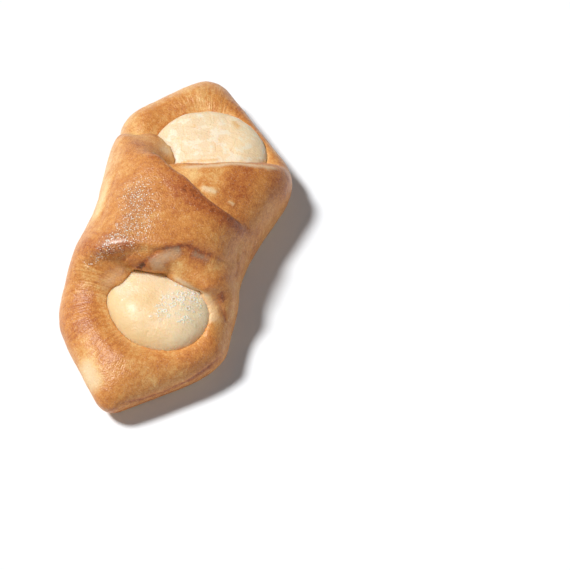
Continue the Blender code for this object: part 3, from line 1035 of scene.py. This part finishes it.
# What the oven and the folding left on the crust and on the curd, and the painted shade, shadow and
# highlights that some marks carry.
CRUST_MARKS = {
    "flap_ridge": Mark(
        (
            (-6.3, 8.4, 30.4), (-1.5, 4.9, 30.6), (3.3, 2.6, 30.3), (7.8, 1.1, 29.5), (12.1, 0.3, 28.2),
            (17, -0.2, 25.2), (21, 1.3, 20), (23.7, 3.2, 14.9),
        ),
        3.2, lift=0.2, bake=0.21, fade=0.3, ragged=0.3,
    ),
    "ridge_end": Mark(((14.4, 4.9, 23.2), (17.7, 4.3, 21.6), (20.3, 4, 19.8)), 2.4, bake=0.07, ragged=0.4),
    # Its gloss brings painted glint specks as well as a real sheen.
    "knuckle": Mark(((-12.3, 19.3, 23.8), (-8.8, 12.2, 30)), 1.6, lift=0.3, bake=0.06, gloss=0.6),
    "brow": Mark(
        (
            (-18.6, -23.2, 22.6), (-14.6, -21.9, 26.7), (-11.5, -21.2, 27.9), (-7.8, -19.5, 29.2),
            (-4.2, -18.3, 29.4), (1, -16.6, 29.5), (6, -14.6, 28.9), (11.1, -12.9, 27.1),
        ),
        1, bake=0.02,
    ),
    "brow_gold": Mark(
        ((-6.7, -19.6, 29), (-1.6, -18.3, 28.8), (3.2, -15.7, 29.4)),
        2, bake=-0.12, fade=0.5,
    ),
    "under_brow": Mark(
        (
            (-17.9, -24.7, 20.6), (-14.5, -23, 22), (-11.2, -21.5, 23.2), (-7.7, -21.1, 25),
            (-5.1, -20.2, 26.9),
        ),
        2.2, bake=0.04, ragged=0.6,
    ),
    "crease": Mark(
        ((-9.6, -21.6, 22.5), (-8.4, -21.1, 24.8), (-6.6, -20.6, 26.3)),
        0.5, lift=-0.2, bake=0.12,
    ),
    "crease_low": Mark(((-7.7, -21.8, 22.9), (-6.4, -21.4, 24.9)), 0.5, lift=-0.2, bake=0.1),
    # A thin browned line under the overhanging edge, darkened further as painted shadow along its groove.
    "lip": Mark(
        (
            (-5.1, -21.6, 20.4), (-2.8, -21.2, 24.5), (-0.5, -19.2, 26.7), (0.2, -18.2, 27.6),
            (3.5, -16.8, 28.2), (6.8, -15.2, 28.2), (8.1, -14.5, 27.8), (10.6, -13.9, 26.6),
            (13, -13.8, 25.2), (15.8, -13, 23.6), (18.6, -12.2, 20.9), (20.8, -11.4, 18),
        ),
        0.7, lift=-0.45, bake=0.22,
    ),
    # A small dent filled with painted shade.
    "pit": Mark(
        ((-4.8, -21.6, 20.5), (-3.5, -21.3, 22.8), (-2.4, -21.3, 24.2)),
        0.7, lift=-1, bake=0.8, ragged=0.1,
    ),
    # Pale inner dough under the lip, darkened with painted shade where it lies under the overhang.
    "cut_face": Mark(
        ((-1.4, -21.7, 23.5), (0.8, -20.6, 25.5), (2.9, -19.2, 26.3), (5.4, -17, 27), (8, -15.4, 27.2)),
        2.2, pale=0.55, bake=0.16, ragged=0.4,
    ),
    "cut_low": Mark(
        ((-0.8, -21.8, 23.1), (1.3, -21.3, 23.8), (3.5, -20.3, 24.8)),
        2.8, pale=0.55, ragged=0.3,
    ),
    "cut_shade": Mark(
        ((9.8, -15.4, 26.3), (12.8, -15.1, 24.9), (16.1, -14.1, 23.2)),
        1.8, pale=0.35, bake=0.2,
    ),
    # Painted shadow on the dome under the overhanging lip.
    "painted_lip_shadow": Mark(
        ((4, -18.8, 26.2), (7.1, -16.7, 26.5), (10.6, -16.1, 25.4), (14.5, -16, 23.6)),
        2.6, bake=0.16, fade=0.8, ragged=0.3,
    ),
    "pale_corner": Mark(
        ((-13.6, -29.3, 15.9), (-12.5, -26.4, 18.1), (-10.7, -23.8, 19.9), (-8.2, -21.8, 20.2)),
        2.8, pale=0.4, bake=0.08, ragged=0.6,
    ),
    # Golden end of the right flap under the lip, brightened further as a painted highlight.
    "dome": Mark(
        ((4.4, -20.6, 23.2), (6.8, -20.2, 23.5), (9.9, -20.4, 22.8)),
        3.4, bake=-0.22, pale=0.15, fade=0.8, ragged=0.2,
    ),
    "dome_gold": Mark(((11.8, -20.6, 22.3), (15.6, -22.1, 21.2)), 3, bake=-0.05),
    "dome_blush": Mark(((17.3, -16.2, 21.8), (20.5, -18.9, 19.5)), 4, bake=0.08),
    "low_edge": Mark(
        (
            (5.4, -21.2, 20.9), (9.2, -22.5, 20.6), (13, -23.1, 18.9), (16.6, -23.8, 18.3),
            (19.3, -24.1, 16.9),
        ),
        1.1, lift=0.2, pale=0.75, bake=-0.1,
    ),
    "red_spot": Mark(((20.4, -21.8, 18.3), (21.7, -22.4, 16.4), (22.4, -22.7, 15.5)), 1.4, bake=0.35),
    "inner_fold": Mark(
        ((14.7, -22.6, 17.3), (17.6, -25.2, 16.7), (19.5, -27.5, 15.4), (21.1, -31.1, 14.4)),
        3.4, pale=0.55, lift=0.3, bake=-0.08, ragged=0.4,
    ),
    "fold_crease": Mark(
        ((19.2, -23.3, 17.8), (21.4, -24.6, 15.2), (23, -26.1, 13.2), (24.3, -27.6, 11.5)),
        0.7, lift=-0.35, bake=0.28,
    ),
    "side_crease": Mark(
        ((21.4, -6.4, 17.1), (22.6, -9.6, 14.5), (22.9, -13.1, 14.3)),
        0.6, lift=-0.35, bake=0.16,
    ),
    "waist": Mark(
        ((14.5, -16, 23.6), (17.9, -17.2, 21.3), (21, -17.6, 18.9)),
        6, bake=-0.12, pale=0.1, fade=0.9, ragged=0.2,
    ),
    # Paler dough on the lower left wall, brightened further as a painted highlight from the key lamp.
    "tip_strip": Mark(
        ((-14.5, -50.4, 11.5), (-11.3, -53.6, 11.8), (-8.3, -57, 11.7), (-4.4, -60.8, 10.9)),
        4, bake=-0.28, pale=0.72, fade=0.4, ragged=0.2,
    ),
    "wall_strip": Mark(
        ((-21.8, 9.9, 24.2), (-23.5, 5.2, 21.4), (-22.7, -3.4, 22.1), (-22, -12.3, 23.4)),
        2.4, bake=-0.28, pale=0.1, fade=0.6, ragged=0.4,
    ),
    "wall_line": Mark(
        ((-20.7, 10.5, 25.3), (-20.4, 3.5, 24.7), (-19.9, -4.7, 24.8), (-20, -12.3, 25)),
        1, bake=0.12, lift=-0.15,
    ),
    # A glossy band of egg wash: lower roughness and more coat, with painted glint specks in its colour.
    "shoulder": Mark(
        (
            (-12.7, 5, 29.2), (-11.7, -1, 29.4), (-9.4, -6.7, 29.8), (-8.8, -11.6, 29.8),
            (-10.4, -16.8, 29.7), (-13.4, -20.5, 28.3), (-17.4, -22.5, 24.1),
        ),
        4.4, gloss=1, ragged=0.6,
    ),
    "shoulder_wide": Mark(
        ((-12.9, 8, 29.2), (-11.1, 0, 29.6), (-7.9, -7.5, 30), (-7.5, -15.3, 29.9), (-11.6, -20.4, 28.7)),
        8, gloss=0.55, ragged=0.5,
    ),
    "flap_gold": Mark(
        ((-11.2, -11.3, 29.5), (-6, -13.8, 30.1), (-1.8, -15.2, 30)),
        5, bake=-0.08, fade=0.4, ragged=0.3,
    ),
    # Real gloss plus painted glint specks.
    "rim_sheen": Mark(
        ((-20.7, -24.9, 20.1), (-18.2, -23.2, 22.7), (-15, -22.1, 25.8)),
        2, gloss=0.6, ragged=0.6,
    ),
    "cut_line": Mark(
        (
            (-5, 14.8, 24.6), (-2.6, 15.4, 24.7), (1.5, 16.5, 25), (6.1, 18.2, 24.9), (9, 19.5, 24.5),
            (12, 21.3, 24), (15.4, 22.7, 23.1), (19.5, 24.1, 21.9), (23.4, 26, 19.9), (26.5, 28.8, 16.2),
        ),
        1, lift=0.2, pale=0.75, ragged=0.4,
    ),
    "fold_shade": Mark(
        ((10.5, 18.7, 24.4), (15, 20.6, 23.5), (19.4, 22.1, 22.1), (23.2, 23.4, 20.3)),
        2.4, bake=0.12, fade=0.9, ragged=0.4,
    ),
    "fold_cheek": Mark(
        ((10.9, 14, 24.5), (15.5, 14.4, 23.5), (20.9, 15.3, 21.2)),
        6, bake=0.2, fade=0.5, ragged=0.3,
    ),
    "fold_blush": Mark(
        ((23.2, 22.2, 20.3), (26.7, 22.3, 17.3), (29.2, 22.2, 11)),
        5.5, bake=0.1, ragged=0.4,
    ),
    "fold_light": Mark(
        ((-2.2, 13.8, 24.8), (1.8, 13.4, 25.1), (6.4, 13.1, 25.1)),
        3.6, bake=-0.3, pale=0.2, fade=0.8, ragged=0.2,
    ),
    "fold_gold": Mark(
        ((5.2, 14.8, 25.1), (8.5, 14.6, 24.9), (11.2, 14.1, 24.5)),
        4.5, bake=-0.09, fade=0.4, ragged=0.3,
    ),
    "flake": Mark(
        ((5.7, 9.2, 25.2), (7.6, 9.5, 25.2), (9.8, 9.1, 24.9), (11.3, 8.8, 24.4)),
        1.1, lift=0.25, pale=0.75, bake=-0.3, ragged=0.5,
    ),
    "small_flake": Mark(
        ((14.7, 7.9, 23.3), (15.7, 7.7, 23), (16.9, 7.7, 22.4)),
        0.7, lift=0.15, pale=0.6, bake=-0.2, ragged=0.5,
    ),
    "wedge": Mark(
        ((-13.2, 28, 19.2), (-9.5, 23.5, 19.8), (-6.6, 21, 18.4)),
        3.2, pale=0.75, fade=0.8, ragged=0.3,
    ),
    "rim_patch": Mark(
        ((-19.9, 40.3, 15.9), (-21, 37.4, 15.9), (-22.2, 35.9, 15.8), (-23.7, 34.2, 15.3)),
        1.6, bake=0.12, ragged=0.8,
    ),
    "rim_gold": Mark(
        ((-24.4, 32.2, 15), (-23.3, 35, 15.5), (-21.2, 38.2, 15.9)),
        3.2, bake=-0.12, fade=0.5,
    ),
    "rim_spots": Mark(((-27.7, 36.7, 12.1), (-25, 25, 20.5)), 1.6, bake=0.12, ragged=0.8),
    "rim_right": Mark(
        ((1, 52.8, 14.2), (7.6, 48.6, 13.2), (14.3, 43.6, 12.7), (20.7, 36.9, 13.3)),
        3.2, bake=0.14, ragged=0.5,
    ),
    "top_gold": Mark(
        ((-12, 49.5, 15.6), (-7.1, 51, 15.9), (-2.9, 52.6, 15.3)),
        6, bake=-0.07, fade=0.3, ragged=0.2,
    ),
    "left_low": Mark(((-26.3, -31.7, 10.1), (-20.9, -41.3, 12.8), (-16.5, -47.2, 12.5)), 5, bake=0.06),
    "left_of_cheese": Mark(
        ((-17.2, -28.5, 17.2), (-17.2, -34.8, 15.5), (-11.4, -42.8, 16.2)),
        4.5, bake=0.12, ragged=0.5,
    ),
    "near_right": Mark(
        ((14.7, -46, 14.1), (19.8, -40.3, 14.1), (23.7, -30.9, 12.3)),
        5.5, bake=0.04, ragged=0.4,
    ),
    "tip_rim": Mark(((-3.1, -62.1, 9.7), (1, -62.1, 8.1)), 3, bake=0.03),
    "base_line": Mark(
        (
            (0.5, -61.7, 9.6), (6.4, -57.5, 8.2), (11.8, -53.1, 7.3), (16.3, -49.5, 8),
            (20.1, -45.8, 8.9), (23.3, -41.8, 9.6), (25.6, -36.7, 10),
        ),
        0.6, lift=-0.35, bake=0.3,
    ),
    "stretch_low": Mark(
        ((21.1, 4.3, 19.1), (23.4, 1.5, 14.4), (23.6, -3.8, 12.1)),
        0.6, lift=-0.3, bake=0.1,
    ),
    "stretch_top": Mark(((24.2, 7.7, 15.7), (24.6, 4, 11.4), (24.1, -1.3, 8.9)), 0.6, lift=-0.3, bake=0.1),
}
CURD_MARKS = {
    "toast_right": Mark(
        ((6.3, 42.8, 17.7), (8.3, 40.4, 18.2), (8.8, 42.1, 17.3)),
        2.2, bake=0.6, ragged=0.7,
    ),
    "toast_middle": Mark(((-4.9, 35, 19.4), (-4.2, 37.1, 19.2)), 1.8, bake=0.6, ragged=0.7),
    "toast_top": Mark(((-2.6, 41.7, 18.1), (0.3, 41.9, 18.3), (2.9, 42.3, 18.2)), 3, bake=0.35, ragged=0.5),
    "toast_edge": Mark(((-14, 35.3, 16.1), (-14.5, 39.8, 14.6)), 1.6, bake=0.35, ragged=0.5),
    # Painted shadow in the gap between the curd and the flap's cut edge.
    "painted_gap_shadow": Mark(
        ((-6, 21.3, 18.2), (-1.7, 22.3, 19.2), (3.1, 23.6, 19.7), (7.8, 25.3, 19.5)),
        0.7, bake=0.7, ragged=0.5,
    ),
    # Froth: glossy, with bubble rings painted white as highlights.
    "bubbled": Mark(
        (
            (3.9, -25.7, 19.6), (7.2, -26.3, 19.6), (9.5, -27.8, 19.5), (12, -28, 19.1),
            (9.2, -32.8, 19.3), (11.4, -34.1, 18.8), (11.3, -36, 18.4),
        ),
        4.2, gloss=1, ragged=0.5,
    ),
    # Wet curd: glossy, and whitened as a painted sheen.
    "wet": Mark(((-8.4, -30.5, 17.5), (-7, -28.8, 18.3), (-4.8, -31.6, 18.9)), 4.5, gloss=1),
}


@dataclass
class Dough:
    """The folded sheet of dough on a fine skin, with its relief and its browning."""

    voxel: float = 0.56 * MM
    melt_rounds: int = 650
    room: float = -0.1 * MM
    hair: float = 0.02 * MM
    gathers: tuple[tuple[Point, Point, float], ...] = (
        ((-18.5, -14, 14.5), (7.5, 13, 8), 0),
        ((-4.5, -13.5, 22.5), (13.5, 6, 6), 0),
        ((-17, 20.5, 14.5), (9, 14, 10), 0),
        ((-10, 25.5, 16.3), (4.8, 6, 3.6), 0),
        ((-13.5, -19, 16), (7, 6.5, 5), 0),
        ((9.8, -14.5, 17.5), (9.5, 6, 7.6), 0),
        ((16, -22, 12.5), (4, 4.5, 4.4), 0),
        ((19.3, -27.5, 11.5), (3, 8, 3.9), 22),
    )
    melts: tuple[tuple[Point, float], ...] = (
        ((-24, -26, 16), 15),
        ((26, -26, 12), 10),
        ((-30, 33, 12), 8),
        ((-16, 24, 22), 12),
        ((12, -14.5, 24), 8),
        ((-24, 26, 17), 7),
        ((-15.5, -21.5, 20), 7),
        ((20, -23, 15), 7),
    )
    # The stretch lines round each opening: their middle, first and last angle, and how many there are.
    stretched: tuple[tuple[float, ...], ...] = ((3, -28, 140, 275, 34), (2.3, 30.6, 60, 150, 30))
    swell: float = 0.45 * MM
    swell_size: float = 16 * MM
    low_swell: float = 0.3
    lumps: float = 0.12 * MM
    lump_size: float = 4.5 * MM
    groove_depth: float = 0.6 * MM
    groove_width: float = 0.6 * MM
    groove_height: float = 4.6 * MM
    groove_faces: tuple[float, float] = (0.67, -0.74)
    waist: Point = (22, -4, 0.8)
    line_width: float = 0.8 * MM
    line_length: float = 8 * MM
    ring_length: float = 7 * MM
    ring_ends: float = 20
    base_bake: float = 0.45
    top_bake: float = 0.08
    ridge_bake: float = 0.10
    ridge_height: float = 0.5 * MM
    cloud_bake: float = 0.07
    cloud_size: float = 12 * MM
    edge_bake: float = -0.12
    foot_bake: float = -0.15
    groove_bake: float = 0.5
    # Painted shade on sides facing right, away from the key lamp, and painted light on sides facing left,
    # towards it.
    right_side_shade: float = 0.03
    left_side_light: float = -0.11

    def melted(self, piece: Piece) -> Piece:
        """Smooth the places where a flap runs out into the base.

        Args:
            piece: The dough.

        Returns:
            The same piece.
        """
        skin = Skin(piece)
        weight = np.zeros(len(skin.points))
        for middle, reach in self.melts:
            away = np.linalg.norm(skin.points - np.array(middle) * MM, axis=1)
            weight = np.maximum(weight, smooth_step(1 - away / (reach * MM)))
        skin.move(skin.relaxed(skin.points, self.melt_rounds, weight))
        return piece

    def cut(self, piece: Piece) -> Piece:
        """Take the room of the filling out of the dough, and round the lips that this leaves.

        Args:
            piece: The dough; it is removed.

        Returns:
            The cut dough.
        """
        cutter = CheeseBody().body("room", self.room)
        taken = piece.modifiers.new("room", "BOOLEAN")
        taken.operation = "DIFFERENCE"
        taken.solver = "MANIFOLD"
        taken.object = cutter
        with_modifiers_applied(piece)
        bpy.data.objects.remove(cutter)
        return fused("dough_crust", [piece], self.voxel, 2)

    def relief(self, skin: Skin) -> np.ndarray:
        """The uneven swell of the baked dough, with its marks.

        Args:
            skin: The dough's skin.

        Returns:
            How far each point is raised.
        """
        height = skin.points[:, 2]
        upper = climb(height, 8, 16) * (1 - self.low_swell) + self.low_swell
        swell = crumble(skin.points, self.swell_size, 2, 3.1) * self.swell * upper
        lumps = crumble(skin.points, self.lump_size, 2, 7.7) * self.lumps
        marked = felt(CRUST_MARKS, skin.points, "lift", np.add) * MM
        return (swell + lumps) * climb(height, 1, 5) - self.groove(skin) * self.groove_depth + marked

    def groove(self, skin: Skin) -> np.ndarray:
        """How strongly each point lies in the thin line along the foot of the near right wall.

        Args:
            skin: The dough's skin.

        Returns:
            Shares from 0 to 1.
        """
        x, y, z = skin.points.T
        out = smooth_step(skin.normals[:, :2] @ np.array(self.groove_faces) * 2 - 0.4)
        return bell(z - self.groove_height, self.groove_width) * out * climb(x, -4, 2) * (y < 0)

    def browning(self, skin: Skin) -> np.ndarray:
        """How much each point has baked, with painted shade on sides that face right and painted light on
        sides that face left.

        Args:
            skin: The dough's skin.

        Returns:
            Shares from 0 for pale inner dough to 1 for dark brown.
        """
        _, y, z = skin.points.T
        # to_right and to_left pick the sides that get the painted shade and the painted light.
        to_right = smooth_step(skin.normals[:, 0] * 1.6 - 0.5) * climb(y, -26, -14)
        to_left = smooth_step(-skin.normals[:, 0] * 1.5 - 0.15) * climb(y, -20, 10)
        bake = self.base_bake + self.top_bake * climb(z, 12, 28)
        bake += self.ridge_bake * np.clip(skin.bulge(60) / self.ridge_height, -1, 1)
        bake += self.cloud_bake * crumble(skin.points, self.cloud_size, 3, 11.0)
        bake += self.edge_bake * (1 - climb(self.from_filling(skin), 0.5, 3.5))
        bake += self.foot_bake * (1 - climb(z, 0.5, 4.5))
        bake += self.groove_bake * self.groove(skin) + self.right_side_shade * to_right + self.left_side_light * to_left
        return np.clip(bake + felt(CRUST_MARKS, skin.points, "bake", np.add), 0, 1)

    def stretch(self, skin: Skin) -> tuple[np.ndarray, np.ndarray]:
        """Where the dough has stretched as it rose.

        Args:
            skin: The dough's skin.

        Returns:
            Coordinates that change fast across the lines and slowly along them, and how much the lines show.
        """
        x, y, z = skin.points.T
        flow = np.stack([x / self.line_width, z / self.line_width, y / self.line_length], 1)
        waist_x, waist_y, most = self.waist
        waist = bell(x - waist_x * MM, 6 * MM) * bell(y - waist_y * MM, 9 * MM) * most
        show = waist
        for middle_x, middle_y, start, end, lines in self.stretched:
            across, along = x - middle_x * MM, y - middle_y * MM
            angle, reach = np.arctan2(along, across), np.hypot(across, along)
            degrees = np.degrees(angle) % 360
            ring = climb(reach, 13, 16) * (1 - climb(reach, 24, 32))
            sector = smooth_step((degrees - start) / self.ring_ends)
            sector *= smooth_step((end - degrees) / self.ring_ends)
            near = ring * sector * climb(z, 8, 12) * (np.abs(y) > 14 * MM)
            polar = np.stack([np.cos(angle) * lines, np.sin(angle) * lines, reach / self.ring_length], 1)
            flow = np.where((near > waist)[:, None], polar, flow)
            show = np.maximum(show, near)
        return flow, show

    def from_filling(self, skin: Skin) -> np.ndarray:
        """How far each point of the dough is from the filling.

        Args:
            skin: The dough's skin.

        Returns:
            One distance for each point.
        """
        body = CheeseBody(voxel=1.2 * MM).body("near")
        places = np.array([v.co for v in body.data.vertices]) + SHIFT
        bpy.data.objects.remove(body)
        return skin.distance_to(places)

    def build(self, shade: Shade) -> tuple[Piece, Matrix]:
        """Build and dress the dough.

        Args:
            shade: The shared shader group.

        Returns:
            The piece, and the matrix that brings the shapes to the part's frame.
        """
        parts = [Pillow().body(), RIGHT_FLAP.body(), LEFT_FLAP.body()]
        parts += [ball(*gather) for gather in self.gathers]
        piece = self.cut(self.melted(fused("dough_blank", parts, self.voxel, 5)))
        place = self.to_cad(Skin(piece))
        piece.data.transform(place)
        skin = Skin(piece)
        skin.raise_by(self.relief(skin))
        skin.store("bake", self.browning(skin))
        for effect in ("pale", "gloss"):
            skin.store(effect, np.clip(felt(CRUST_MARKS, skin.points, effect), 0, 1))
        flow, show = self.stretch(skin)
        skin.store("flow", flow)
        skin.store("streak", show)
        piece.data.transform(self.to_cad(skin))
        return dressed(piece, CrustFinish().material(shade)), place

    def to_cad(self, skin: Skin) -> Matrix:
        """Flatten the sole and fit the dough a hair inside the box of the CAD's dough.

        Args:
            skin: The dough's skin.

        Returns:
            The matrix from the skin's own box to that box.
        """
        points = skin.points.copy()
        points[points[:, 2] < 0.25 * MM, 2] = 0
        skin.move(points)
        low, high = points.min(0), points.max(0)
        hair = Vector((self.hair, self.hair, self.hair))
        cad_low, cad_high = (Vector(corner) + hair * side for corner, side in zip(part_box("dough"), (1, -1)))
        scale = Matrix.Diagonal((*[room / size for room, size in zip(cad_high - cad_low, high - low)], 1))
        return Matrix.Translation(cad_low) @ scale @ Matrix.Translation(-Vector(low))


@dataclass
class CheeseFilling:
    """The curd cheese that runs through the fold and swells out of both openings."""

    low_toast: float = 0.24
    damp: float = 0.1
    cloud_size: float = 8 * MM
    cloud_yellow: float = 0.25

    def build(self, shade: Shade, place: Matrix) -> Piece:
        """Build and dress the filling.

        Args:
            shade: The shared shader group.
            place: The matrix that brings the shapes to the part's frame.

        Returns:
            The piece.
        """
        piece = CheeseBody().body("cheese")
        piece.data.transform(place)
        skin = Skin(piece)
        x, y, z = skin.points.T
        yellow = (0.25 + 0.75 * climb(-y, 18, 34)) * (y < 0) + 0.6 * (1 - climb(z, 14, 18))
        toast_and_shade = self.low_toast * (1 - climb(z, 12, 18))
        wet = felt(CURD_MARKS, skin.points, "gloss")
        skin.store("toast_and_shade", np.clip(np.maximum(felt(CURD_MARKS, skin.points, "bake"), toast_and_shade), 0, 1))
        skin.store("gloss", wet * (1 - self.damp) + self.damp)
        skin.store("froth", CURD_MARKS["bubbled"].weight(skin.points))
        skin.store("crazed", climb(y, 0, 10))
        # Painted light: paler towards the right side, away from the key lamp, to lift its shade.
        skin.store("painted_right_light", np.where(y < 0, climb(x, 2, 16), climb(x, -2, 12)))
        clouds = crumble(skin.points, self.cloud_size, 2, 5.0) * self.cloud_yellow
        skin.store("yellow", np.clip(yellow * 0.9 + clouds, 0, 1))
        return dressed(piece, CheeseFinish().material(shade))


@dataclass(frozen=True)
class Lamp:
    """One soft light from far away: where it comes from, its strength, its width and its colour."""

    name: str
    source: Point
    strength: float
    width: float
    colour: Point = (1, 1, 1)

    def build(self) -> None:
        """Hang the lamp."""
        lamp = bpy.data.lights.new(self.name, "SUN")
        lamp.energy = self.strength
        lamp.angle = math.radians(self.width)
        lamp.color = self.colour
        hung = bpy.data.objects.new(self.name, lamp)
        hung.rotation_euler = Vector(self.source).to_track_quat("Z", "Y").to_euler()
        bpy.context.scene.collection.objects.link(hung)


@dataclass
class Studio:
    """The floor, the light and the camera."""

    lamps: tuple[Lamp, ...] = (
        Lamp("key", (-0.56, 0.0, 0.83), 3.7, 13),
        Lamp("side", (0.8, -0.3, 0.52), 0.6, 70, (1.0, 0.98, 0.96)),
    )
    fill: float = 0.065
    fill_colour: Colour = (0.80, 0.91, 1.0, 1)
    floor_colour: Colour = (0.9, 0.92, 0.94, 1)
    azimuth: float = 15
    elevation: float = 56
    lens: float = 120
    sensor: float = 36
    image: int = 570
    pixels_per_metre: float = 3200
    origin_at: tuple[float, float] = (177.3, 261.5)

    def floor(self) -> None:
        """Lay a plain pale floor."""
        bm = bmesh.new()
        bmesh.ops.create_grid(bm, x_segments=1, y_segments=1, size=2)
        made = object_from("floor", bm)
        plain, wire, surface = material("floor_white")
        wire.feed(surface, {"Base Color": self.floor_colour, "Roughness": 0.9, "Specular IOR Level": 0.1})
        made.data.materials.append(plain)

    def light(self) -> None:
        """Hang a soft key lamp at the upper left and a weak one at the right, in an even cool fill."""
        for lamp in self.lamps:
            lamp.build()
        world = bpy.data.worlds.new("fill")
        world.use_nodes = True
        sky = world.node_tree.nodes["Background"]
        Wiring(world.node_tree).feed(sky, {"Color": self.fill_colour, "Strength": self.fill})
        bpy.context.scene.world = world

    def camera(self) -> None:
        """Set the camera at the photograph's angle, aimed so that the origin falls on its own pixel."""
        a, e = math.radians(self.azimuth), math.radians(self.elevation)
        back = Vector((math.sin(a) * math.cos(e), -math.cos(a) * math.cos(e), math.sin(e)))
        right = Vector((math.cos(a), math.sin(a), 0))
        distance = self.image / self.pixels_per_metre * self.lens / self.sensor
        middle = self.image / 2
        aim = right * ((middle - self.origin_at[0]) / self.pixels_per_metre)
        aim += back.cross(right) * ((self.origin_at[1] - middle) / self.pixels_per_metre)
        data = bpy.data.cameras.new("camera")
        data.lens = self.lens
        data.sensor_width = self.sensor
        data.clip_start = 10 * MM
        data.clip_end = 20
        made = bpy.data.objects.new("camera", data)
        made.location = SHIFT + aim + back * distance
        made.rotation_euler = (-back).to_track_quat("-Z", "Y").to_euler()
        bpy.context.scene.collection.objects.link(made)
        bpy.context.scene.camera = made

    def build(self) -> None:
        """Set up the whole studio."""
        self.floor()
        self.light()
        self.camera()
        bpy.context.scene.view_settings.view_transform = "Standard"


def join(piece: Piece, node: str, slot: str) -> None:
    """Make a piece ride on the part and report it.

    Args:
        piece: The piece.
        node: The CAD node that it stands for.
        slot: The node's material slot; not used.
    """
    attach(piece, "root")
    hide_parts(node)
    log.info("%s: %d faces for %s", piece.name, len(piece.data.polygons), node)


def main() -> None:
    """Build the pastry and its studio."""
    logging.basicConfig(level=logging.INFO, format="%(name)s: %(message)s")
    shade = Shade()
    dough, place = Dough().build(shade)
    join(dough, "dough", "crust")
    join(CheeseFilling().build(shade, place), "cheese_filling", "cheese")
    Studio().build()


if __name__ == "__main__":
    main()
